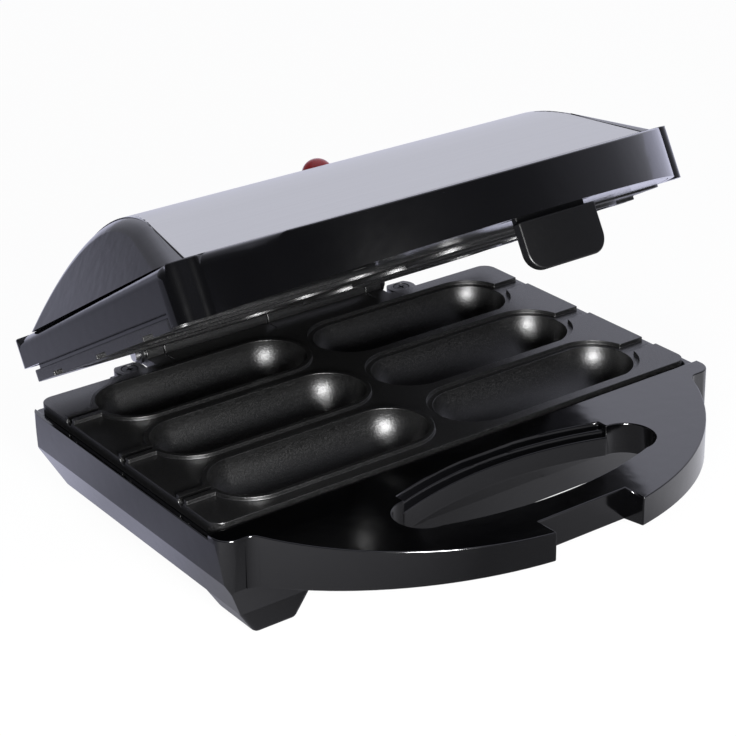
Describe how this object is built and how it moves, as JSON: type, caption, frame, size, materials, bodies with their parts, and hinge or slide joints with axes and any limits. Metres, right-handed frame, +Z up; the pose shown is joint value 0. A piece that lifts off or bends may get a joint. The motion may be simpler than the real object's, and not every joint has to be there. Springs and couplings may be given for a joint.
{
  "type": "corn dog maker",
  "caption": "countertop corn dog maker with a hinged lid, cast non-stick mould plates, bowed front handles, an arched steel lid panel, a red indicator lens and a hanging latch",
  "frame": {"origin": "on the surface it stands on, below the middle of the part's box with the lid as pictured", "axes": "+X to the right along the moulds, +Y to the hinge at the back, +Z up"},
  "size_m": [0.248, 0.2336, 0.1787],
  "materials": {
    "black_plastic": "moulded, glossy black",
    "black_satin": "moulded, satin black",
    "nonstick": "cast, with a black speckled non-stick coat",
    "steel": "brushed along its width",
    "zinc": "zinc plated",
    "black_zinc": "zinc plated, then blackened",
    "element": "sheathed heating tube, heat darkened",
    "shield": "plain sheet",
    "ceramic": "unglazed",
    "lead": "braided glass sleeve",
    "rubber": "moulded black",
    "red_lens": "clear red moulding",
    "lamp": "neon bulb in its holder"
  },
  "bodies": {
    "base": {"lower_housing": "black_plastic", "foot_pads": "rubber", "lower_plate": "nonstick", "lower_ear_screws": "black_zinc", "lower_plate_screws": "zinc", "lower_heater": "element", "lower_strap": "zinc", "lower_strap_screw": "zinc", "thermostat": "ceramic", "thermal_fuse": "ceramic", "lower_heat_shield": "shield", "terminal_block": "ceramic", "lower_wiring": "lead", "cord_gland": "rubber", "hinge_pin": "zinc", "hinge_clips": "black_zinc"},
    "lid": {"upper_housing": "black_plastic", "steel_panel": "steel", "upper_plate": "nonstick", "upper_ear_screws": "black_zinc", "upper_plate_screws": "zinc", "upper_heater": "element", "upper_strap": "zinc", "upper_strap_screw": "zinc", "upper_heat_shield": "shield", "upper_wiring": "lead", "handle_cover": "black_plastic", "handle_cover_screws": "zinc", "indicator_lens": "red_lens", "indicator_lamp": "lamp", "latch_pin": "zinc"},
    "latch": {"latch": "black_satin"}
  },
  "joints": [
    {"name": "lid_hinge", "type": "hinge", "parent": "base", "child": "lid", "pos_m": [0, 0.11275, 0.0506], "axis": [-1, 0, 0], "range_deg": [-29, 66]},
    {"name": "latch_pivot", "type": "hinge", "parent": "lid", "child": "latch", "pos_m": [0, -0.07936, 0.16441], "axis": [-1, 0, 0], "range_deg": [-9, 10]}
  ]
}
